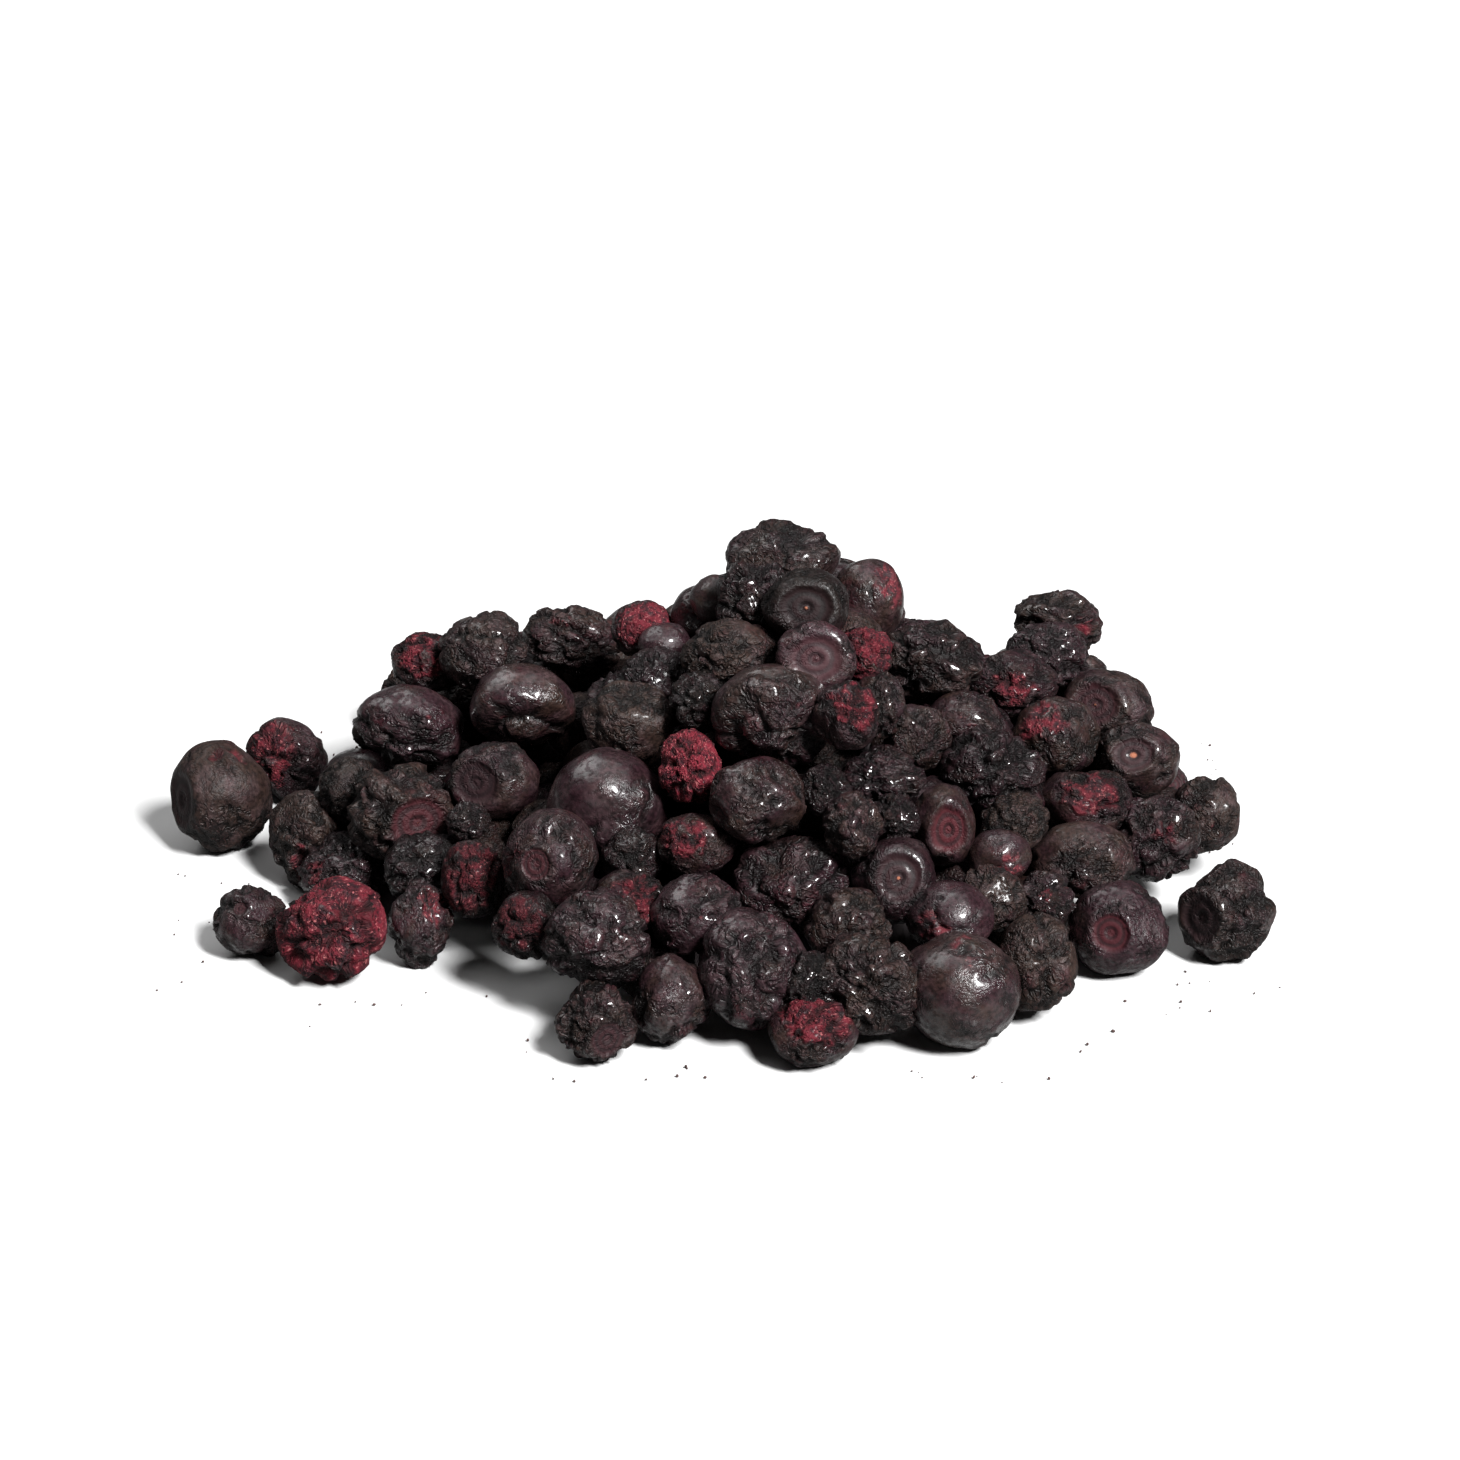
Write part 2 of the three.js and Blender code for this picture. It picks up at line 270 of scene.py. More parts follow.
heapRules = {
    "gridStep": 1.5,       # spacing of the heights taken from the CAD heap
    "spread": 3.0,         # how far a height spreads to the ground beside it
    "tightness": 0.9,      # closest distance of two middles, as a share of both radii
    "sink": 0.94,          # height of a middle over the floor, as a share of the radius
    "rounds": 160,
    "ease": 0.5,           # share of a push that a berry follows in each round
    "pull": 0.15,          # how far a berry that ought to be hidden sinks inwards in each round
    "look": 8,             # rounds after which it is looked at again
    "hold": 0.04,          # share of its way back that a berry in view takes in each round
    "press": 0.15,         # how much of a berry is flattened by the floor
    "lowest": 3.0,         # outline height below which no berry of the heap lies
    "sight": (-80, 60, 0.2),           # places tried along a line of sight, nearer and farther
    "onFloor": 1.05,       # height of a middle on the floor at most, in radii
    "reach": 6,            # farthest over the outline that a berry in view may lie
    "margin": 6,           # floor round the CAD heap that the heights take in
    "slopeReach": 2.5,     # distance over which the outline's slope is taken
    "turnedAway": 2.4,     # weight of the direction away from the camera for crowns that don't show
    "flattest": 0.6,       # least height of a berry, as a share of the height that shows
    "gapWidth": 14,        # widest gap between berries that show, in pixels
    "maskStep": 4,
}

hiddenShapes = {
    "width": (0.9, 1.1),   # shares of the diameter
    "height": (0.84, 1.0),
    "tear": (0.15, 0.5),
    # painted shade: the inner layers are darkened, as only the heap's shaded gaps show them
    "shade": 0.6,          # of the inner layers
}

hiddenLayers = {           # berries that the camera sees only in gaps: places tried, depth and sizes
    "rear": dict(count=420, depth=0.0, sizes=(6.4, 10.2), closest=0.74),
    "inner": dict(count=420, depth=3.0, sizes=(6.0, 8.4), closest=0.68),
    "deep": dict(count=200, depth=8.0, sizes=(6.4, 8.6), closest=0.68),
}


footRank, shownRank, hiddenRank = 0, 1, 2


def neighbours(grid):
    # the grid moved on by one cell in each direction
    return [np.roll(grid, step, axis) for axis in (0, 1) for step in (1, -1)]


def heapHeights():
    surface = BVHTree.FromObject(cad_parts["heap"], bpy.context.evaluated_depsgraph_get())
    step, margin = heapRules["gridStep"], heapRules["margin"]
    starts, ends = heapLow / metre - margin, heapHigh / metre + margin
    xs, ys = (np.arange(starts[axis], ends[axis], step) for axis in (0, 1))
    heights = np.zeros((len(xs), len(ys)))
    for column, x in enumerate(xs):
        for row, y in enumerate(ys):
            hit = surface.ray_cast(Vector((x * metre, y * metre, 1)), Vector((0, 0, -1)))[0]
            heights[column, row] = hit.z / metre if hit else 0
    reach = int(heapRules["spread"] / step)
    wide = heights.copy()
    for across in range(-reach, reach + 1):
        for along in range(-reach, reach + 1):
            if across ** 2 + along ** 2 <= reach ** 2:
                wide = np.maximum(wide, np.roll(heights, (across, along), (0, 1)))
    for turn in range(2):
        wide = sum(neighbours(wide), wide) / 5
    return xs[0], ys[0], wide


gridX, gridY, gridHeights = heapHeights()


def outlineAt(points):
    # height of the heap's outline under points, between the four grid heights round each
    across = np.clip((points[..., 0] - gridX) / heapRules["gridStep"], 0, gridHeights.shape[0] - 1.001)
    along = np.clip((points[..., 1] - gridY) / heapRules["gridStep"], 0, gridHeights.shape[1] - 1.001)
    column, row = across.astype(int), along.astype(int)
    rightShare, rearShare = across - column, along - row
    left = gridHeights[column, row] * (1 - rearShare) + gridHeights[column, row + 1] * rearShare
    right = gridHeights[column + 1, row] * (1 - rearShare) + gridHeights[column + 1, row + 1] * rearShare
    return left * (1 - rightShare) + right * rightShare


def onSightLine(line, radius):
    # where a berry on a line of sight touches the outline, or comes closest to it
    steps = np.arange(*heapRules["sight"]) + view["distance"]
    points = eye + line * steps[:, None]
    outline = outlineAt(points)
    over = points[:, 2] - np.maximum(radius, outline - radius)
    reached = np.flatnonzero(over <= 0)
    first = reached[0] if len(reached) else len(steps) - 1
    overOutline = np.where(outline[:first + 1] > heapRules["lowest"], over[:first + 1], np.inf)
    nearest = int(np.argmin(overOutline))
    onFloor = points[first, 2] <= radius * heapRules["onFloor"] and outline[first] < heapRules["lowest"]
    return points[nearest if onFloor and overOutline[nearest] < heapRules["reach"] else first]


def outlineNormal(x, y):
    reach = heapRules["slopeReach"]
    spots = np.array([(x - reach, y), (x + reach, y), (x, y - reach), (x, y + reach)])
    left, right, front, back = outlineAt(spots)
    slope = Vector(((left - right) / (2 * reach), (front - back) / (2 * reach), 1))
    return np.array(slope.normalized())


def spiralPlaces(count, salt):
    # places spread evenly over the heap, each with the outline's height and normal there
    goldenTurn = math.pi * (3 - math.sqrt(5))
    for index in range(count):
        far = math.sqrt((index + 0.5) / count)
        angle = index * goldenTurn + salt
        x, y = heapMiddle + heapHalf * far * (math.cos(angle), math.sin(angle)) + dice.uniform(-1, 1, 2)
        height = float(outlineAt(np.array((x, y))))
        if height > heapRules["lowest"]:
            yield np.array((x, y, height)), outlineNormal(x, y)


def settle(middles, radii, lines, rank, isHidden):
    # pushes berries apart: those at the foot stay, those that show slide along their line of sight
    base = np.array((*heapMiddle, 0))
    starts = middles
    atFoot, isShown, isInside = (rank[:, None] == kind for kind in (footRank, shownRank, hiddenRank))
    above = rank[:, None] > rank[None]
    shares = np.where(above, 1.0, np.where(rank[:, None] == rank[None], 0.5, 0.0))
    sinking = np.zeros(len(radii), dtype=bool)
    for turn in range(heapRules["rounds"]):
        if turn % heapRules["look"] == 0:
            for number in np.flatnonzero(isInside):
                sinking[number] = not isHidden(middles[number], radii[number])
        middles = middles + (starts - middles) * np.where(isShown, heapRules["hold"], 0)
        inward = (base - middles) / np.linalg.norm(base - middles, axis=1)[:, None]
        middles = middles + inward * np.where(sinking, heapRules["pull"], 0)[:, None]
        gap = middles[None] - middles[:, None]
        apart = np.linalg.norm(gap, axis=2) + np.eye(len(radii)) * 1000      # none meets itself
        limit = heapRules["tightness"] * (radii[:, None] + radii[None])
        share = shares * (apart < limit)
        push = -(gap * ((limit - apart) / apart * share)[..., None]).sum(1)
        along = (gap * lines[:, None]).sum(2)
        aside = np.maximum(apart ** 2 - along ** 2, 0)
        need = np.sqrt(np.maximum(limit ** 2 - aside, 0)) - abs(along)
        slide = -(np.sign(along) * need * share).sum(1)
        moves = np.where(isShown, lines * slide[:, None], push) * heapRules["ease"]
        middles = middles + np.where(atFoot, 0, moves)
        lack = np.maximum(radii * heapRules["sink"] - middles[:, 2], 0)
        rise = np.where(rank == shownRank, lack / np.minimum(lines[:, 2], -0.1), 0)
        middles = middles + lines * rise[:, None]
        middles[:, 2] += np.where(rank == hiddenRank, lack, 0)
    return middles


def spread(mask, cells):
    # the mask grown by some cells all round
    for turn in range(cells):
        mask = np.any((mask, *neighbours(mask)), 0)
    return mask


def filledOutline(shown):
    # the part of the picture that the shown berries cover, gaps between them included
    steps = np.arange(0, view["imageSize"], heapRules["maskStep"])
    across = (steps[:, None, None] - shown["x"]) / (shown["halfWidth"] + 2)
    down = (steps[None, :, None] - shown["y"]) / (shown["halfHeight"] + 2)
    covered = ((across ** 2 + down ** 2) < 1).any(2)
    cells = heapRules["gapWidth"] // heapRules["maskStep"] + 1
    return ~spread(~spread(covered, cells), cells)


def hiddenFromCamera(middle, radius, shown, covered):
    # whether a berry stays behind those that show and within their common outline
    pixelX, pixelY, depth = inPicture(middle)
    angles = np.linspace(0, 2 * math.pi, 16, endpoint=False)
    rimX = pixelX + np.cos(angles) * radius * focal / depth
    rimY = pixelY + np.sin(angles) * radius * focal / depth
    across = (rimX[:, None] - shown["x"]) / (shown["halfWidth"] + heapRules["gapWidth"])
    down = (rimY[:, None] - shown["y"]) / (shown["halfHeight"] + heapRules["gapWidth"])
    behind = (((across ** 2 + down ** 2) < 1) & (shown["depth"] < depth)).any(1)
    cell = (np.array((rimX, rimY)) / heapRules["maskStep"]).astype(int)
    return bool((behind & covered[cell[0], cell[1]]).all())


def hiddenBerries(berries):
    # adds layers of berries round the heap, wherever they don't meet those that are there
    for layer, rules in hiddenLayers.items():
        for place, normal in spiralPlaces(rules["count"], len(layer)):
            radius = dice.uniform(*rules["sizes"]) / 2
            middle = place - normal * (radius + rules["depth"])
            floorHeight = radius * heapRules["sink"]
            if layer == "deep" and middle[2] < floorHeight:
                continue
            middle[2] = max(middle[2], floorHeight)
            if any(np.linalg.norm(middle - other["middle"]) < rules["closest"] * (radius + other["radius"])
                   for other in berries):
                continue
            look = str(dice.choice(list(shownBerries))) if layer == "rear" else "inner"
            size = tuple(2 * radius * dice.uniform(*hiddenShapes[side]) for side in ("width", "height"))
            berry = dict(look=look, size=size, middle=middle, radius=radius, rank=hiddenRank, line=ahead)
            if look == "torn":
                berry.update(torn=dice.uniform(-1, 1, 3), tear=dice.uniform(*hiddenShapes["tear"]))
            if look == "inner":
                berry.update(shade=hiddenShapes["shade"])
            berries.append(berry)


def layOut():
    berries = []
    for node, berry in footBerries.items():
        radius, line = math.sqrt(math.prod(berry["size"])) / 2, sightLine(berry["at"])
        middle = eye + line * (radius * heapRules["sink"] - eye[2]) / line[2]
        berries.append(dict(berry, node=node, middle=middle, radius=radius, rank=footRank, line=ahead))
    for look, rows in shownBerries.items():
        for berry in rows:
            radius, line = math.sqrt(math.prod(berry["size"])) / 2, sightLine(berry["at"])
            middle = onSightLine(line, radius)
            berries.append(dict(berry, look=look, middle=middle, radius=radius, rank=shownRank, line=line))
    shownCount = len(berries)
    pixelX, pixelY, depth = inPicture(valuesOf(berries, "middle"))
    halfWidth, halfHeight = valuesOf(berries, "size").T / 2 * focal / depth
    shown = dict(x=pixelX, y=pixelY, depth=depth, halfWidth=halfWidth, halfHeight=halfHeight)
    covered = filledOutline(shown)
    hiddenBerries(berries)

    def isHidden(middle, radius):
        return hiddenFromCamera(middle, radius, shown, covered)

    columns = (valuesOf(berries, key) for key in ("middle", "radius", "line", "rank"))
    for berry, middle in zip(berries, settle(*columns, isHidden)):
        berry["middle"] = middle
    return [berry for number, berry in enumerate(berries)
            if number < shownCount or isHidden(berry["middle"], berry["radius"])]


# Node helpers

class Wire:
    # a node's output, so that sums of outputs are written as sums
    def __init__(self, tree, socket):
        self.tree = tree
        self.socket = socket

    def output(self, name):
        return Wire(self.tree, self.socket.node.outputs[name])

    def maths(self, operation, *values):
        return put(self.tree, "ShaderNodeMath", dict(enumerate((self, *values))), operation=operation)

    def vector(self, operation, *values):
        output = "Value" if operation in ("DOT_PRODUCT", "LENGTH") else "Vector"
        inputs = dict(enumerate((self, *values)))
        return put(self.tree, "ShaderNodeVectorMath", inputs, output, operation=operation)

    def scaled(self, level):
        return put(self.tree, "ShaderNodeVectorMath", {0: self, "Scale": level}, operation="SCALE")

    def __add__(self, other):
        return self.maths("ADD", other)

    def __sub__(self, other):
        return self.maths("SUBTRACT", other)

    def __rsub__(self, other):
        return put(self.tree, "ShaderNodeMath", {0: other, 1: self}, operation="SUBTRACT")

    def __mul__(self, other):
        return self.maths("MULTIPLY", other)

    def __truediv__(self, other):
        return self.maths("DIVIDE", other)


def attach(value, socket):
    if isinstance(value, Wire):
        value.tree.links.new(value.socket, socket)
    else:
        socket.default_value = value


def put(tree, kind, inputs=None, output=0, **settings):
    node = tree.nodes.new(kind)
    for name, value in settings.items():
        setattr(node, name, value)
    for key, value in (inputs or {}).items():
        attach(value, node.inputs[key])
    return Wire(tree, node.outputs[output]) if node.outputs else None


def fade(value, start, end, low=0, high=1):
    inputs = {"Value": value, "From Min": start, "From Max": end, "To Min": low, "To Max": high}
    return put(value.tree, "ShaderNodeMapRange", inputs, interpolation_type="SMOOTHSTEP")


# A Mix node has its plain values at inputs 2 and 3, and its colours at 6 and 7
def between(share, first, second):
    return put(share.tree, "ShaderNodeMix", {0: share, 2: first, 3: second})


def mixColor(share, first, second):
    return put(share.tree, "ShaderNodeMix", {0: share, 6: first, 7: second}, 2, data_type="RGBA")


def noise(place, seed, scale, detail=2, output=0, **more):
    inputs = {"Vector": place, "W": seed, "Scale": scale, "Detail": detail}
    inputs.update({key.capitalize(): value for key, value in more.items()})
    return put(place.tree, "ShaderNodeTexNoise", inputs, output, noise_dimensions="4D", noise_type="FBM")


def grit(place, seed, scale):
    inputs = {"Vector": place, "W": seed, "Scale": scale}
    return put(place.tree, "ShaderNodeTexVoronoi", inputs, "Distance", voronoi_dimensions="4D", feature="F1")


# Shape of the berries, by Geometry Nodes

berryFields = {            # what each point of a layout carries
    "FLOAT_VECTOR": ("centre", "turn", "halfSize", "tornAim", "hollowAim"),
    "FLOAT": ("seed", "ring", "tear", "dent", "tint", "shade", "pip", "blush", "number"),
}

shapeInputs = {            # the tree's own inputs, in berry radii
    "Detail": 5,
    "Lump Height": 0.44,
    "Flatness": 0.2,       # how far the flat sides cut in
    "Fold Scale": 1.2,
    "Fold Depth": 0.12,
    "Wrinkle Scale": 3.0,
    "Wrinkle Height": 0.04,
    "Smooth Share": 0.4,
    "Grain Height": 0.01,
    "Crown Sink": 0.05,
    "Tear Depth": 0.07,
    "Flesh Height": 0.06,
    "Slit Depth": 0.05,
}

relief = {                 # what all berries have in common: noise scales, and widths in noise steps
    "lengthwise": (1, 1, 0.6),         # folds run from the crown to the stalk
    "driftScale": 1.5,
    "lumpScale": 0.9,
    "flatSides": 5,
    "flatSideStep": 1.7,
    "hollow": (0.25, 0.8),             # from its edge to its bottom, as cosines
    "hollowRough": (1.4, 0.4),         # how much rougher it is there, at most
    "foldWidth": 0.1,
    "ridgeWidth": 0.15,
    "roughScale": 1.4,
    "roughWidth": 0.16,
    "leastRough": 0.06,
    "tornScale": 2.4,
    "tornSpread": 1.1,
    "tornFrom": (1.12, -2.6),          # cosine at its edge without a tear, and how that falls with it
    "tornWidth": 0.09,
    "remainsScale": 2.6,               # skin left on a torn place
    "remains": (0.58, 0.53),
    "gritScale": 6.0,
    "lip": 0.1,
    "ragged": 0.3,                     # unevenness of the crown's rim
    "crownEdge": (1.35, 0.9),          # from no crown to all crown, in rings
    "crownDepth": (0.1, 0.38),         # of its profile: more for a wide ring, and for all
    "smoothCrease": 0.75,              # value of the crease mask on smooth parts
    "grainScale": 11.0,
}

# Height over the crown's flat disc, from its middle out to 1.4 times the ring
crownProfile = [(0, -0.03), (0.07, -0.035), (0.13, -0.11), (0.24, -0.1), (0.36, -0.02), (0.58, -0.015),
                (0.7, -0.05), (0.8, -0.045), (0.96, 0.03), (1.08, 0.01), (1.4, 0)]
crownReach = 1.4
crownSwing = 0.2           # the profile's heights lie within this, up and down


def crownHeight(reach):
    height = put(reach.tree, "ShaderNodeFloatCurve", {"Value": reach / crownReach})
    mapping = height.socket.node.mapping
    points = mapping.curves[0].points
    while len(points) < len(crownProfile):
        points.new(0.5, 0.5)
    for point, (across, rise) in zip(points, crownProfile):
        point.location = (across / crownReach, 0.5 + rise / crownSwing / 2)
    mapping.update()
    return (height - 0.5) * (crownSwing * 2)


def creased(place, seed, scale, width):
    # 1 on the bulges between winding creases, 0 in the creases
    return fade((noise(place, seed, scale, 1.2) - 0.5).maths("ABSOLUTE"), 0, width)


def flattened(body, spot, seed, flatness):
    # sides pressed flat in random directions
    for side in range(relief["flatSides"]):
        chance = put(body.tree, "ShaderNodeTexWhiteNoise", {"W": seed + side * relief["flatSideStep"]},
                     "Color", noise_dimensions="1D")
        facing = spot.vector("DOT_PRODUCT", chance.vector("SUBTRACT", (0.5, 0.5, 0.5)).vector("NORMALIZE"))
        limit = 1 - chance.output("Value") * flatness
        body = body.maths("SMOOTH_MIN", limit / facing.maths("MAXIMUM", 0.3), 0.12)
    return body


def berryTree():
    tree = bpy.data.node_groups.new("dried berries", "GeometryNodeTree")
    addSocket = tree.interface.new_socket
    addSocket("Geometry", in_out="INPUT", socket_type="NodeSocketGeometry")
    for name, value in shapeInputs.items():
        kind = "NodeSocketInt" if isinstance(value, int) else "NodeSocketFloat"
        addSocket(name, in_out="INPUT", socket_type=kind).default_value = value
    addSocket("Material", in_out="INPUT", socket_type="NodeSocketMaterial")
    addSocket("Geometry", in_out="OUTPUT", socket_type="NodeSocketGeometry")
    points = put(tree, "NodeGroupInput")
    given = points.output

    def field(name):
        kind = "FLOAT" if name in berryFields["FLOAT"] else "FLOAT_VECTOR"
        return put(tree, "GeometryNodeInputNamedAttribute", {"Name": name}, data_type=kind)

    def store(geometry, name, value, kind="FLOAT"):
        inputs = {"Geometry": geometry, "Name": name, "Value": value}
        return put(tree, "GeometryNodeStoreNamedAttribute", inputs, data_type=kind)

    ball = put(tree, "GeometryNodeMeshIcoSphere", {"Radius": 1, "Subdivisions": given("Detail")}, "Mesh")
    place = put(tree, "GeometryNodeInputPosition")
    ball = store(ball, "spot", place.vector("NORMALIZE"), "FLOAT_VECTOR")
    balls = put(tree, "GeometryNodeInstanceOnPoints", {"Points": points, "Instance": ball})
    skin = put(tree, "GeometryNodeRealizeInstances", {"Geometry": balls})

    spot, seed, tear, dent, ring = (field(name) for name in ("spot", "seed", "tear", "dent", "ring"))
    drift = noise(spot, seed, relief["driftScale"], output="Color").vector("SUBTRACT", (0.5, 0.5, 0.5))
    warped = spot.vector("MULTIPLY", relief["lengthwise"]).vector("ADD", drift)
    lump = noise(spot, seed + 3, relief["lumpScale"], 1.5) - 0.5
    body = flattened(lump * given("Lump Height") + 1, spot, seed, given("Flatness"))
    facing = spot.vector("DOT_PRODUCT", field("hollowAim"))
    body = body - fade(facing, *relief["hollow"]) * dent

    fold = creased(warped, seed, given("Fold Scale"), relief["foldWidth"])
    ridge = creased(warped, seed + 7, given("Wrinkle Scale"), relief["ridgeWidth"])
    rough = noise(spot, seed + 11, relief["roughScale"])
    rougher, most = relief["hollowRough"]
    rough = rough + facing * (dent * rougher).maths("MINIMUM", most) - given("Smooth Share")
    rough = fade(rough, 0, relief["roughWidth"], relief["leastRough"], 1)
    folds = (fold - 1) * given("Fold Depth")
    wrinkles = (1 - ridge) * given("Wrinkle Height")
    body = body + (folds + wrinkles) * rough

    unevenness = noise(spot, seed + 17, relief["tornScale"], 3.5, roughness=0.6) - 0.5
    tornPlace = unevenness * relief["tornSpread"] + spot.vector("DOT_PRODUCT", field("tornAim"))
    edge, growth = relief["tornFrom"]
    torn = fade(tornPlace - (tear * growth + edge), 0, relief["tornWidth"])
    remains = tear * -0.1 + noise(warped, seed + 23, relief["remainsScale"], 2.5)
    torn = torn * fade(remains, *relief["remains"])
    flesh = (grit(warped, seed, relief["gritScale"]) - 0.4) * given("Flesh Height")
    flesh = flesh - (1 - fold) * given("Slit Depth") - given("Tear Depth")
    body = body + (flesh * torn + torn * (1 - torn) * relief["lip"])

    upright = put(tree, "ShaderNodeSeparateXYZ", {0: spot}, "Z")
    height = upright.maths("MAXIMUM", 0.05)
    reach = (1 - height * height).maths("SQRT") / ring.maths("MAXIMUM", 0.01)
    reach = reach + unevenness * relief["ragged"] * reach.maths("MINIMUM", 1)
    discHeight = (1 - ring * ring).maths("SQRT") - given("Crown Sink")
    wider, forAll = relief["crownDepth"]
    disc = (discHeight + crownHeight(reach) * (ring * wider + forAll)) / height
    inCrown = fade(reach, *relief["crownEdge"]) * fade(upright, 0, 0.2)
    body = between(inCrown, body, disc)
    grain = (noise(spot, seed, relief["grainScale"]) - 0.5) * (1 - inCrown)
    body = grain * given("Grain Height") + body

    # crease mask, low in the creases; the materials darken the skin colour there as painted shade
    crease = between(rough, relief["smoothCrease"], fold * 0.7 + (1 - ridge) * 0.3)
    for name, value in dict(crease=crease, rough=rough, torn=torn, reach=reach).items():
        skin = store(skin, name, value)
    rotation = put(tree, "FunctionNodeEulerToRotation", {"Euler": field("turn")})
    turned = put(tree, "FunctionNodeRotateVector", {"Vector": spot.scaled(body), "Rotation": rotation})
    placed = turned.vector("MULTIPLY_ADD", field("halfSize"), field("centre"))
    skin = put(tree, "GeometryNodeSetPosition", {"Geometry": skin, "Position": placed})
    skin = put(tree, "GeometryNodeSetMaterial", {"Geometry": skin, "Material": given("Material")})
    put(tree, "NodeGroupOutput", {"Geometry": skin})
    return tree


def pointMesh(name, berries):
    mesh = bpy.data.meshes.new(name)
    mesh.from_pydata([Vector(berry["middle"]) * metre for berry in berries], [], [])
    rows = []
    for number, berry in enumerate(berries):
        chance = np.random.default_rng((*berry.get("at", (number, 7)), berry.get("salt", 0)))
        crown = seenAim(berry.get("crown", chance.uniform(-1, 1, 3)))
        if "crown" not in berry and berry["rank"] != hiddenRank:      # turned away from the camera
            crown = (crown + Vector(ahead) * heapRules["turnedAway"]).normalized()
        turn = crown.to_track_quat("Z", "Y") @ Quaternion((0, 0, 1), chance.uniform(0, 2 * math.pi))
        back = turn.inverted()
        width, tall = berry["size"]
        deep = 2 * berry["radius"]
        if berry["rank"] != hiddenRank:    # its height in the picture is a slanted view of height and depth
            upFrom = (heapRules["flattest"] * tall) ** 2
            tall = math.sqrt(max(tall ** 2 - (deep * math.sin(lean)) ** 2, upFrom)) / math.cos(lean)
        fallbackRing = chance.uniform(0.2, 0.5)
        rows.append({
            "centre": Vector(berry["middle"]) * metre,
            "turn": Vector(turn.to_euler()),
            "halfSize": Vector((width, deep, tall)) / 2 * metre,
            "tornAim": back @ seenAim(berry.get("torn", (0, 0))),
            "hollowAim": back @ seenAim(berry.get("hollow", chance.uniform(-1, 1, 3))),
            "seed": chance.uniform(0, 50),
            "ring": berry.get("ring", fallbackRing),
            "tear": berry.get("tear", 0),
            "dent": berry.get("dent", chance.uniform(0, 0.12)),
            "tint": berry.get("tint", chance.uniform(0, 1)),
            "shade": berry.get("shade", 1),
            "pip": berry.get("pip", 0),
            "blush": berry.get("blush", chance.uniform(0, 0.4)),
            "number": number,
        })
    for kind, fields in berryFields.items():
        for field in fields:
            values = np.array([row[field] for row in rows], dtype=np.float32).ravel()
            layer = mesh.attributes.new(field, kind, "POINT")
            layer.data.foreach_set("vector" if kind == "FLOAT_VECTOR" else "value", values)
    return mesh


def readOff(data, count, key, width=1):
    values = np.zeros(count * width)
    data.foreach_get(key, values)
    return values.reshape(-1, width) if width > 1 else values


def fitBerries(mesh, berries):
    # gives each berry its size in the picture and sets it back on its line of sight
    count = len(mesh.vertices)
    points = readOff(mesh.vertices, count, "co", 3) / metre
    numbers = readOff(mesh.attributes["number"].data, count, "value")
    axes = np.stack((sideways, upward, ahead))
    for number, berry in enumerate(berries):
        own = numbers == number
        apart = (points[own] - berry["middle"]) @ axes.T
        least, most = apart.min(0), apart.max(0)
        wanted = np.array((*berry["size"], 2 * berry["radius"]))
        apart = (apart - (least + most) / 2) * wanted / (most - least)
        placed = apart @ axes + berry["middle"]
        if berry["rank"] == footRank:      # stands on the floor
            line = (berry["middle"] - eye) / np.linalg.norm(berry["middle"] - eye)
            placed += line * (-heapRules["press"] - placed[:, 2].min()) / line[2]
        points[own] = placed
    points[:, 2] = np.maximum(points[:, 2], 0)
    mesh.vertices.foreach_set("co", (points * metre).astype(np.float32).ravel())
    mesh.update()


discs = {"radius": 0.44, "widest": 0.49}   # of each half berry in the map, as shares of its square


def addBakeMap(mesh, count):
    # two discs in the map for each berry, one for either half
    corners = readOff(mesh.loops, len(mesh.loops), "vertex_index").astype(int)
    spots = readOff(mesh.attributes["spot"].data, len(mesh.vertices), "vector", 3)[corners]
    numbers = readOff(mesh.attributes["number"].data, len(mesh.vertices), "value")[corners]
    lower = np.repeat(spots.reshape(-1, 3, 3)[:, :, 2].mean(1) < 0, 3)
    square = (numbers * 2 + lower).astype(int)
    across = math.ceil(math.sqrt(2 * count))
    down = math.ceil(2 * count / across)
    polar = np.arccos(np.clip(spots[:, 2] * np.where(lower, -1, 1), -1, 1))
    aside = spots[:, :2] / np.maximum(np.linalg.norm(spots[:, :2], axis=1), 1e-6)[:, None]
    far = np.minimum(polar / (math.pi / 2) * discs["radius"], discs["widest"])
    places = np.stack((square % across, square // across), axis=1) + 0.5 + aside * far[:, None]
    layer = mesh.uv_layers.new(name="OFBake")
    layer.data.foreach_set("uv", (places / (across, down)).astype(np.float32).ravel())


def growBerries(name, berries, tree, values, material):
    points = showObject(name, pointMesh(name, berries))
    growth = points.modifiers.new("growth", "NODES")
    growth.node_group = tree
    for socket in tree.interface.items_tree:
        if socket.in_out == "INPUT" and socket.name in values:
            growth[socket.identifier] = values[socket.name]
        elif socket.in_out == "INPUT" and socket.name == "Material":
            growth[socket.identifier] = material
    evaluated = points.evaluated_get(bpy.context.evaluated_depsgraph_get())
    mesh = bpy.data.meshes.new_from_object(evaluated)
    points.modifiers.remove(growth)
    points.data = mesh
    mesh.name = name
    fitBerries(mesh, berries)
    mesh.shade_smooth()
    addBakeMap(mesh, len(berries))
    return points


# Materials

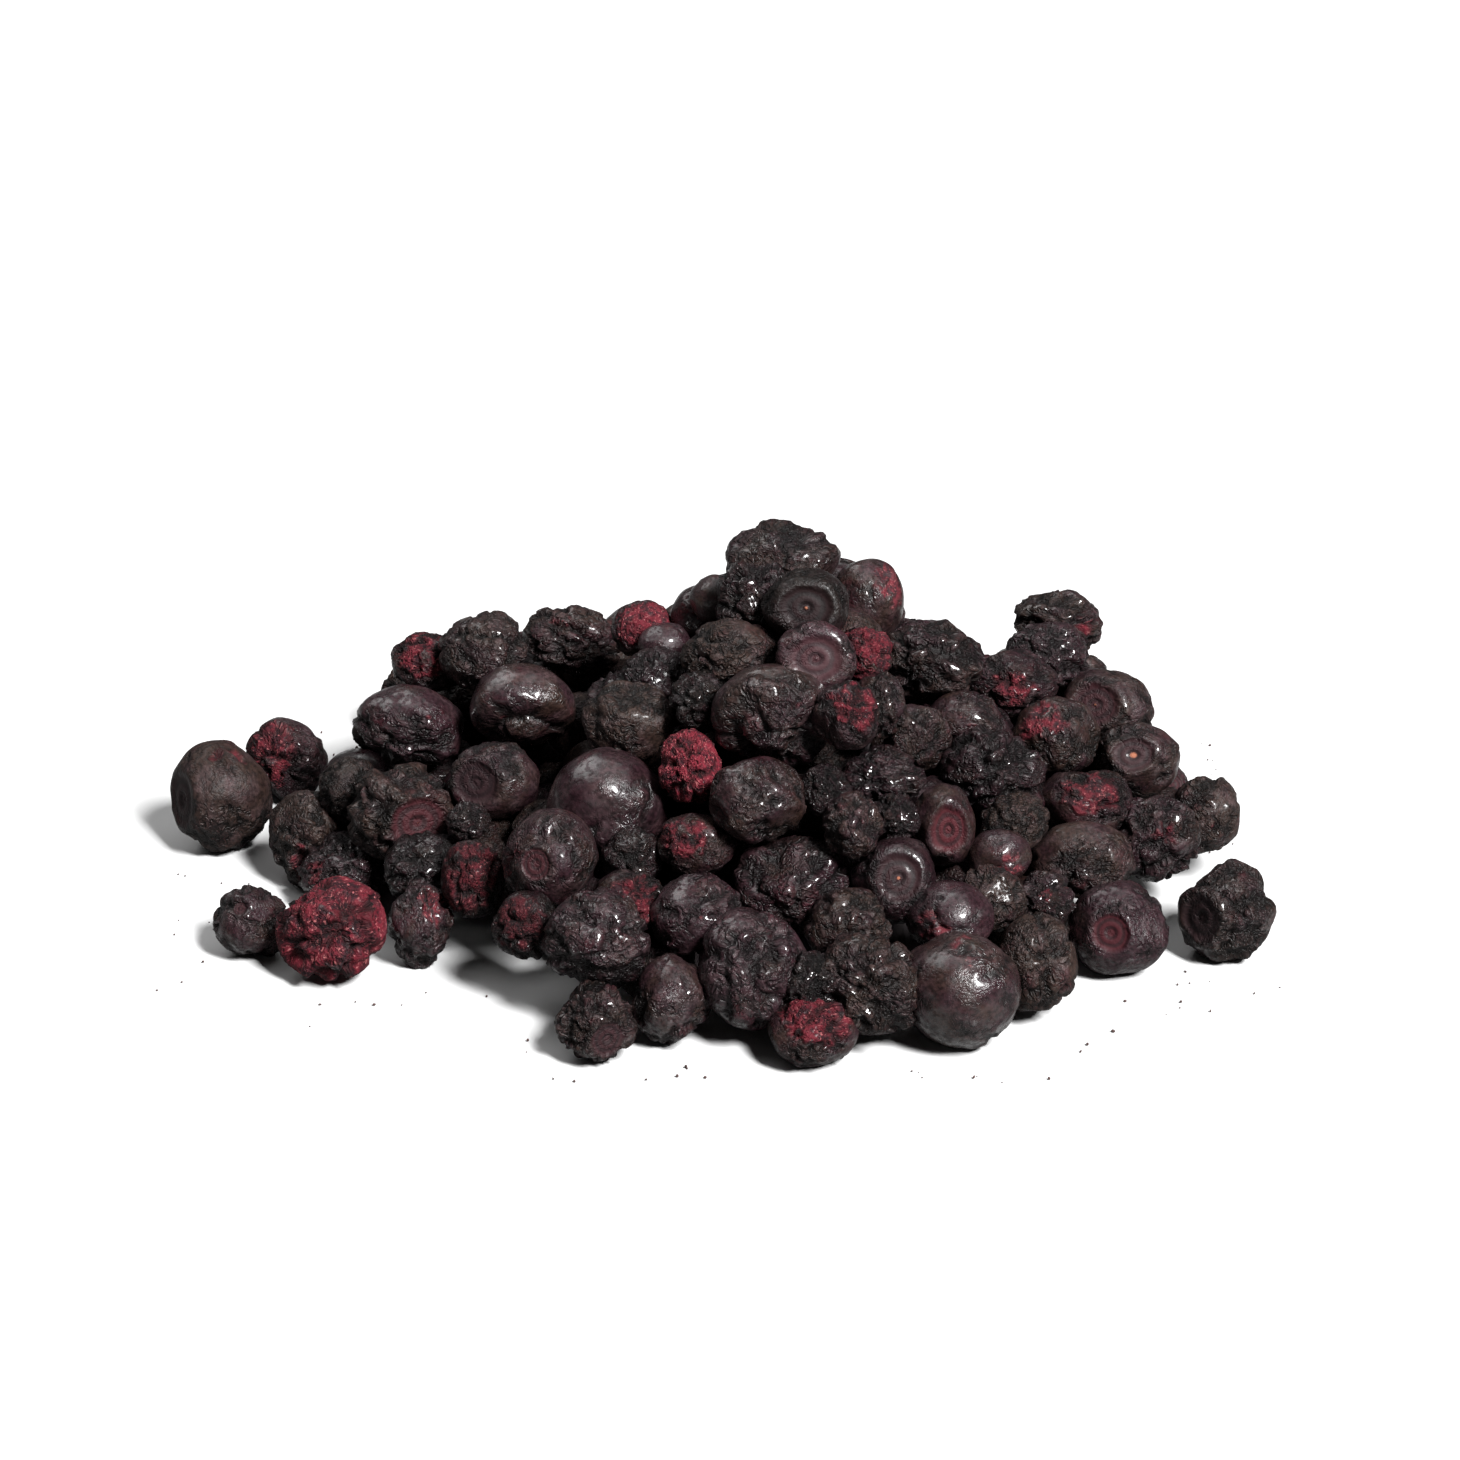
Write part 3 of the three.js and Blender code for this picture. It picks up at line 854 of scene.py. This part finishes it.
def nodeGroup(name, inputs, outputs):
    group = bpy.data.node_groups.new(name, "ShaderNodeTree")
    kinds = {float: "NodeSocketFloat", tuple: "NodeSocketColor", type(None): "NodeSocketVector"}
    for title, value in inputs.items():
        socket = group.interface.new_socket(title, in_out="INPUT", socket_type=kinds[type(value)])
        if value is not None:
            socket.default_value = value
    for title, kind in outputs.items():
        group.interface.new_socket(title, in_out="OUTPUT", socket_type="NodeSocket" + kind)
    return group, put(group, "NodeGroupInput").output, group.nodes.new("NodeGroupOutput").inputs


toneScales = {             # noise scales of the colours, over a berry of radius 1
    "blotch": 1.8,
    "speck": 13,
    "ruddy": 1.6,
    "dusty": 2.6,
    "fleshGrit": 9,
    "fleshPatch": 3,
    "sparkle": 17,
    "sheen": 3,
    "glint": 9,
    "crownRings": 15.5,
}


def skinToneGroup():
    group, given, out = nodeGroup("berry skin tone", {
        "Place": None, "Seed": 0.0, "Tint": 0.5, "Crease": 0.5, "Shade": 1.0,
        "Purple": (0.0128, 0.0054, 0.0072, 1), "Brown": (0.0146, 0.008, 0.0063, 1),
        "Maroon": (0.024, 0.004, 0.0063, 1), "Bloom": (0.046, 0.029, 0.031, 1)}, {"Color": "Color"})
    place, seed = given("Place"), given("Seed")
    warm = given("Tint") + (noise(place, seed, toneScales["blotch"], 3) - 0.5) * 2
    speck = noise(place, seed + 5, toneScales["speck"], 3)
    ruddy = noise(place, seed + 13, toneScales["ruddy"], 3)
    dusty = noise(place, seed + 9, toneScales["dusty"], 4)
    tone = mixColor(fade(warm, 0.1, 0.9), given("Purple"), given("Brown"))
    tone = mixColor(fade(ruddy, 0.54, 0.72) * 0.5, tone, given("Maroon"))
    tone = mixColor(fade(dusty, 0.45, 0.75) * 0.45, tone, given("Bloom"))
    # painted shade: the skin is darker in its creases; the specks vary its tone at random
    level = fade(speck, 0.32, 0.68, 0.5, 1.5) * fade(given("Crease"), 0.05, 0.8, 0.15, 1.15)
    attach(tone.scaled(level * given("Shade")), out["Color"])
    return group


def fleshGroup():
    group, given, out = nodeGroup("torn flesh", {
        "Place": None, "Seed": 0.0, "Shade": 1.0, "Deep": (0.013, 0.002, 0.004, 1),
        "Bright": (0.076, 0.006, 0.0112, 1), "Pale": (0.21, 0.062, 0.064, 1)},
        {"Color": "Color", "Height": "Float"})
    place, seed = given("Place"), given("Seed")
    level = grit(place, seed, toneScales["fleshGrit"]) * 0.4
    level = level + noise(place, seed, toneScales["fleshPatch"], 4) * 1.15
    tone = mixColor(fade(level, 0.62, 0.97), given("Deep"), given("Bright"))
    # painted glints: pale specks over the dry flesh
    tone = mixColor(fade(noise(place, seed, toneScales["sparkle"]), 0.57, 0.7), tone, given("Pale"))
    attach(tone.scaled(given("Shade")), out["Color"])
    attach(level, out["Height"])
    return group


def crownGroup():
    group, given, out = nodeGroup("crown rings", {
        "Reach": 2.0, "Pip": 0.0, "Blush": 0.0, "Shade": 1.0, "Disc": (0.016, 0.008, 0.0094, 1),
        "Groove": (0.006, 0.0028, 0.0036, 1), "Red": (0.052, 0.0058, 0.0092, 1),
        "Seedling": (0.28, 0.1, 0.055, 1)}, {"Color": "Color", "Mask": "Float"})
    reach, pip = given("Reach"), given("Pip")
    disc = mixColor(given("Blush"), given("Disc"), given("Red"))
    # painted shade: rings of darker colour across the crown stand in for shade in its grooves
    rings = fade((reach * toneScales["crownRings"]).maths("SINE"), -0.9, 0.5, 0.35, 1)
    tone = mixColor(rings, given("Groove"), disc).scaled(given("Shade"))
    tip = fade(reach / pip.maths("MAXIMUM", 0.01), 0.14, 0.06) * pip.maths("MINIMUM", 1)
    attach(mixColor(tip, tone, given("Seedling")), out["Color"])
    attach(fade(reach, 1.05, 0.8), out["Mask"])
    return group


def grainGroup():
    group, given, out = nodeGroup("skin grain", {"Place": None, "Seed": 0.0, "Scale": 7.0, "Rough": 1.0},
                                  {"Height": "Float", "Crease": "Float"})
    place, seed, scale, rough = (given(name) for name in ("Place", "Seed", "Scale", "Rough"))
    wave = noise(place, seed, scale, 2.5, roughness=0.6, distortion=0.6)
    crease = between(rough, 1, fade((wave - 0.5).maths("ABSOLUTE"), 0, 0.09))
    fine = noise(place, seed, scale * 3, 3, roughness=0.65) * (rough * 0.2 + 0.4)
    attach(crease * 0.6 + fine, out["Height"])
    attach(crease, out["Crease"])
    return group


sharedGroups = {"skin": skinToneGroup(), "flesh": fleshGroup(), "crown": crownGroup(), "grain": grainGroup()}


def newMaterial(name):
    material = bpy.data.materials.new(name)
    material.use_nodes = True
    return material, material.node_tree, material.node_tree.nodes["Principled BSDF"].inputs


def berrySkin(name, finish):
    # skin with its bloom, the ringed crown and, where it is torn, the dry flesh
    material, tree, surface = newMaterial(name)

    def read(attribute, output="Fac"):
        return put(tree, "ShaderNodeAttribute", None, output, attribute_name=attribute)

    def effect(group, **inputs):
        return put(tree, "ShaderNodeGroup", inputs, node_tree=sharedGroups[group])

    place, seed, torn = read("spot", "Vector"), read("seed"), read("torn")
    # shade scales the skin, crown and flesh colours: a berry's own tone, and painted shade on berries deep in
    # the gaps
    shade, tint = read("shade"), read("tint")
    grain = effect("grain", Place=place, Seed=seed, Scale=finish["grainScale"], Rough=read("rough"))
    # the crease mask paints shade into the skin colour and takes gloss from the creases
    crease = read("crease") * fade(grain.output("Crease"), 0, 1, 0.5, 1)
    skin = effect("skin", Place=place, Seed=seed, Tint=tint, Crease=crease, Shade=shade)
    crown = effect("crown", Reach=read("reach"), Pip=read("pip"), Blush=read("blush"), Shade=shade)
    # painted shade: the flesh is darker in its slits and creases
    fleshShade = shade * fade(read("crease"), 0.1, 0.7, 0.2, 1)
    flesh = effect("flesh", Place=place, Seed=seed, Shade=fleshShade)
    inCrown = crown.output("Mask")
    base = mixColor(inCrown * finish["crownTone"], skin, crown)
    attach(mixColor(torn, base, flesh), surface["Base Color"])
    patch = fade(noise(place, seed, toneScales["sheen"], 3), 0.7, 0.35) * fade(crease, 0.3, 0.8)
    patch = patch * fade(tint, 0.9, 0.4, 0.15, 1)
    matt = torn.maths("MAXIMUM", inCrown * 0.7)
    rough = between(matt, between(patch, finish["dull"], finish["glossy"]), finish["matt"])
    attach(rough, surface["Roughness"])
    height = flesh.output("Height") * torn + grain * fade(inCrown, 0, 1, 1, 0.3)
    inputs = {"Strength": finish["bump"], "Distance": finish["bumpDistance"], "Height": height}
    attach(put(tree, "ShaderNodeBump", inputs), surface["Normal"])
    surface["Specular IOR Level"].default_value = finish["specular"]
    glint = noise(place, seed, toneScales["glint"], 3)     # a thin shiny film on the bulges
    film = fade(glint, finish["filmFrom"], finish["filmFrom"] + 0.15) * fade(patch, 0, 0.5)
    film = film * fade(matt, 0, 0.9, finish["film"], 0.12 * finish["film"])
    attach(film, surface["Coat Weight"])
    surface["Coat Roughness"].default_value = finish["wet"]
    return material


usualFinish = {            # "glossy", "dull" and "matt" are roughnesses, "wet" that of the shiny film
    "grainScale": 4.2,
    "crownTone": 0.85,     # share of the crown's own tone
    "glossy": 0.22,
    "dull": 0.5,
    "matt": 0.72,          # roughness of torn flesh and crowns
    "bump": 0.8,
    "bumpDistance": 0.0005,            # metres
    "specular": 0.2,
    "film": 0.85,          # share of the film on the bulges
    "filmFrom": 0.42,
    "wet": 0.17,
}

looks = {                  # what differs from shapeInputs and usualFinish
    "smooth": dict(
        shape={"Lump Height": 0.24, "Flatness": 0.1, "Fold Depth": 0.07, "Wrinkle Height": 0.035,
               "Smooth Share": 0.54},
        finish=dict(grainScale=5.0, crownTone=0.7, glossy=0.2, dull=0.45, bump=0.4, specular=0.3,
                    film=0.7, filmFrom=0.38, wet=0.14)),
    "folded": dict(
        shape={"Grain Height": 0.02},
        finish=dict(bump=0.75, film=0.8)),
    "wrinkled": dict(
        shape={"Fold Scale": 1.4, "Fold Depth": 0.13, "Wrinkle Scale": 2.9, "Wrinkle Height": 0.045,
               "Smooth Share": 0.3, "Grain Height": 0.02},
        finish={}),
    "gnarled": dict(
        shape={"Lump Height": 0.54, "Flatness": 0.24, "Fold Scale": 1.5, "Fold Depth": 0.17,
               "Wrinkle Height": 0.05, "Smooth Share": 0.24, "Grain Height": 0.02},
        finish=dict(crownTone=0.9, specular=0.18)),
    "crowned": dict(
        shape={"Lump Height": 0.3, "Flatness": 0.14, "Fold Scale": 1.3, "Fold Depth": 0.08,
               "Wrinkle Scale": 3.2, "Wrinkle Height": 0.035, "Smooth Share": 0.42, "Crown Sink": 0.035},
        finish=dict(crownTone=0.9, glossy=0.24, dull=0.55, bump=0.7, specular=0.18,
                    film=0.6, filmFrom=0.44, wet=0.2)),
    "torn": dict(
        shape={"Lump Height": 0.42, "Flatness": 0.22, "Fold Scale": 1.3, "Fold Depth": 0.11,
               "Wrinkle Scale": 3.4, "Tear Depth": 0.05, "Flesh Height": 0.035},
        finish=dict(grainScale=4.4, crownTone=0.7, glossy=0.24, bump=0.75, specular=0.17,
                    film=0.5, filmFrom=0.43, wet=0.18)),
    "inner": dict(
        shape={"Detail": 4, "Lump Height": 0.4, "Fold Scale": 1.5, "Smooth Share": 0.3, "Grain Height": 0.0},
        finish=dict(grainScale=5.0, crownTone=0.4, glossy=0.35, bump=0.6, specular=0.12,
                    film=0.2, filmFrom=0.45, wet=0.25)),
}


# The inside of the heap, in place of the imported CAD heap

core = {
    "rings": 16,
    "spokes": 60,
    "depth": 8.0,          # below the top of the berries round each place
    "around": 3.5,
    "bottom": 0.2,
    "thinnest": 0.2,
    "edge": 0.3,           # height over the bottom at which it ends
    "farthest": 60,
    "step": 0.5,
    # painted shade: the inside has the berries' dark tone made nearly black, as only the shaded gaps between
    # berries show it
    "dark": (0.005, 0.003, 0.004, 1),
    "light": (0.014, 0.008, 0.009, 1),
}


def coreHeight(points, middles, radii):
    # top of the inside, kept well below the lowest of the berries round each place
    tops = []
    for step in range(9):
        turn = step * math.pi / 4
        aside = np.array((math.cos(turn), math.sin(turn))) * (core["around"] if step else 0)
        gap = np.linalg.norm((points + aside)[:, None] - middles[None, :, :2], axis=2)
        under = np.maximum(radii ** 2 - gap ** 2, 0)
        tops.append(np.where(gap < radii, middles[:, 2] + np.sqrt(under), 0).max(1))
    return np.min(tops, 0) - core["depth"]


def makeCore(berries):
    middles, radii = valuesOf(berries, "middle"), valuesOf(berries, "radius")
    positions, faces = [], []
    spokes, rings, bottom = core["spokes"], core["rings"], core["bottom"]
    for spoke in range(spokes):
        angle = spoke / spokes * 2 * math.pi
        heading = np.array((math.cos(angle), math.sin(angle)))
        distances = np.arange(1, core["farthest"], core["step"])
        heights = coreHeight(heapMiddle + heading * distances[:, None], middles, radii)
        far = distances[int(np.argmax(heights < bottom + core["edge"]))]
        points = heapMiddle + heading * (np.arange(1, rings + 1) / rings * far)[:, None]
        tops = np.maximum(coreHeight(points, middles, radii), bottom + core["thinnest"])
        positions += [(x, y, top) for (x, y), top in zip(points, tops)]
        positions.append((*points[-1], bottom))
    size = rings + 1
    peak = len(positions)
    for spoke in range(spokes):
        first, second = spoke * size, (spoke + 1) % spokes * size
        faces += [(first + ring, first + ring + 1, second + ring + 1, second + ring) for ring in range(rings)]
        faces.append((peak, first, second))
        faces.append((peak + 1, second + rings, first + rings))
    positions.append((*heapMiddle, float(coreHeight(heapMiddle[None], middles, radii)[0])))
    positions.append((*heapMiddle, bottom))
    mesh = bpy.data.meshes.new("packed_inside")
    mesh.from_pydata([Vector(position) * metre for position in positions], [], faces)
    mesh.shade_smooth()
    mesh.materials.append(darkMatter("packed inside", core["dark"], core["light"]))
    return showObject("packed_inside", mesh)


def darkMatter(name, dark, light):
    material, tree, surface = newMaterial(name)
    patch = noise(put(tree, "ShaderNodeTexCoord", None, "Object"), 2, 400, 3)
    attach(mixColor(patch, dark, light), surface["Base Color"])
    surface["Roughness"].default_value = 0.9
    return material


# Crumbs

crumbRules = {
    "count": 130,
    "sizes": (0.05, 0.16),
    "farthest": 0.97,      # share of the CAD box that they keep within
    "nearest": 0.8,        # to the nearest berry
    "reach": (1.5, 9),     # how far from the nearest berry they may lie
    "stretch": (0.6, 1.3),
    "uneven": (0.75, 1.1),
    "salt": 5,
    "dark": (0.02, 0.01, 0.009, 1),
    "light": (0.09, 0.05, 0.045, 1),
}


def makeCrumbs(berries):
    # tiny broken bits on the floor, round the foot of the heap
    chance = np.random.default_rng(crumbRules["salt"])
    half = np.array((cadBox[1].x, cadBox[1].y)) / metre * crumbRules["farthest"]
    middles, radii = valuesOf(berries, "middle"), valuesOf(berries, "radius")
    bits = bmesh.new()
    made = 0
    while made < crumbRules["count"]:
        place = chance.uniform(-half, half)
        near = (np.linalg.norm(middles[:, :2] - place, axis=1) - radii).min()
        if near < crumbRules["nearest"] or near > chance.uniform(*crumbRules["reach"]):
            continue
        size = chance.uniform(*crumbRules["sizes"])
        stretch = Vector(chance.uniform(*crumbRules["stretch"], 3)) * size
        turn = Quaternion(Vector(chance.uniform(-1, 1, 3)).normalized(), chance.uniform(0, math.pi))
        corners = bmesh.ops.create_icosphere(bits, subdivisions=1, radius=1)["verts"]
        for corner in corners:
            corner.co = turn @ (corner.co * chance.uniform(*crumbRules["uneven"]) * stretch)
        lowest = min(corner.co.z for corner in corners)
        for corner in corners:
            corner.co = (corner.co + Vector((*place, -lowest))) * metre
        made += 1
    mesh = bpy.data.meshes.new("crumbs")
    bits.to_mesh(mesh)
    bits.free()
    mesh.materials.append(darkMatter("crumb", crumbRules["dark"], crumbRules["light"]))
    return showObject("crumbs", mesh)


def dress(piece, slot, *nodes):
    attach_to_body(piece, "root")
    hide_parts(*nodes)


# Surroundings

floorLook = {
    "half": 4.0,           # metres
    "height": -0.00002,
    "seen": (0.55, 0.55, 0.55, 1),
    "bounced": (0.2, 0.2, 0.2, 1),
    "roughness": 0.25,
    "specular": 0.3,
    "paleFrom": 0.1,       # metres from the middle; the floor runs into the backdrop between these two
    "paleTo": 0.8,
}


def addFloor():
    half = floorLook["half"]
    mesh = bpy.data.meshes.new("floor")
    corners = [(-half, -half), (half, -half), (half, half), (-half, half)]
    mesh.from_pydata([(*corner, floorLook["height"]) for corner in corners], [], [(0, 1, 2, 3)])
    material, tree, surface = newMaterial("pale floor")
    isCamera = put(tree, "ShaderNodeLightPath", None, "Is Camera Ray")
    attach(mixColor(isCamera, floorLook["bounced"], floorLook["seen"]), surface["Base Color"])
    surface["Roughness"].default_value = floorLook["roughness"]
    surface["Specular IOR Level"].default_value = floorLook["specular"]
    surface["Emission Color"].default_value = (1, 1, 1, 1)
    distance = put(tree, "ShaderNodeTexCoord", None, "Object").vector("LENGTH")
    inputs = {"Value": distance, "From Min": floorLook["paleFrom"], "From Max": floorLook["paleTo"]}
    attach(put(tree, "ShaderNodeMapRange", inputs) * isCamera, surface["Emission Strength"])
    mesh.materials.append(material)
    showObject("floor", mesh)


lamps = {                  # azimuth to the right of the front and elevation in degrees, then metres and watts
    "key": dict(azimuth=38, elevation=45, distance=2.3, size=(0.4, 0.65), power=172),
    "overhead": dict(azimuth=175, elevation=76, distance=2.2, size=(3.0, 2.4), power=22),
    "rear": dict(azimuth=222, elevation=48, distance=2.6, size=(2.2, 1.6), power=24),
}
backdrop = {"glow": 0.03, "seen": 1.0}     # strength on the berries, and behind them


def addLights():
    for name, lamp in lamps.items():
        light = bpy.data.lights.new(name, "AREA")
        light.shape = "RECTANGLE"
        light.size, light.size_y = lamp["size"]
        light.energy = lamp["power"]
        turn, rise = math.radians(lamp["azimuth"]), math.radians(lamp["elevation"])
        heading = Vector((math.sin(turn) * math.cos(rise), -math.cos(turn) * math.cos(rise), math.sin(rise)))
        holder = showObject(name, light)
        holder.location = heading * lamp["distance"]
        holder.rotation_euler = heading.to_track_quat("Z", "Y").to_euler()
    world = bpy.data.worlds.new("studio")
    world.use_nodes = True
    background = world.node_tree.nodes["Background"].inputs
    background["Color"].default_value = (1, 1, 1, 1)
    isCamera = put(world.node_tree, "ShaderNodeLightPath", None, "Is Camera Ray")
    inputs = {"Value": isCamera, "To Min": backdrop["glow"], "To Max": backdrop["seen"]}
    attach(put(world.node_tree, "ShaderNodeMapRange", inputs), background["Strength"])
    bpy.context.scene.world = world
    bpy.context.scene.view_settings.view_transform = "Standard"


addCamera()
berries = layOut()
print("berries laid out:", len(berries))

tree = berryTree()
for look, settings in looks.items():
    slot = "torn_skin" if look == "torn" else "skin"
    material = berrySkin(look + " skin", dict(usualFinish, **settings["finish"]))
    values = dict(shapeInputs, **settings["shape"])
    heaped = [berry for berry in berries if berry["look"] == look and "node" not in berry]
    piece = growBerries("berries_" + look, heaped, tree, values, material)
    dress(piece, slot, "heap")
    print(look, len(heaped), "berries,", len(piece.data.polygons), "faces")
    for berry in berries:
        if berry.get("node") and berry["look"] == look:
            ownValues = dict(values, **berry.get("shape", {}))
            single = growBerries(berry["node"].replace("berry", "fruit"), [berry], tree, ownValues, material)
            dress(single, slot, berry["node"])
dress(makeCore([berry for berry in berries if "node" not in berry]), "skin", "heap")
dress(makeCrumbs(berries), "skin", "heap")
print("berries grown")

addFloor()
addLights()
print("lights and floor set")
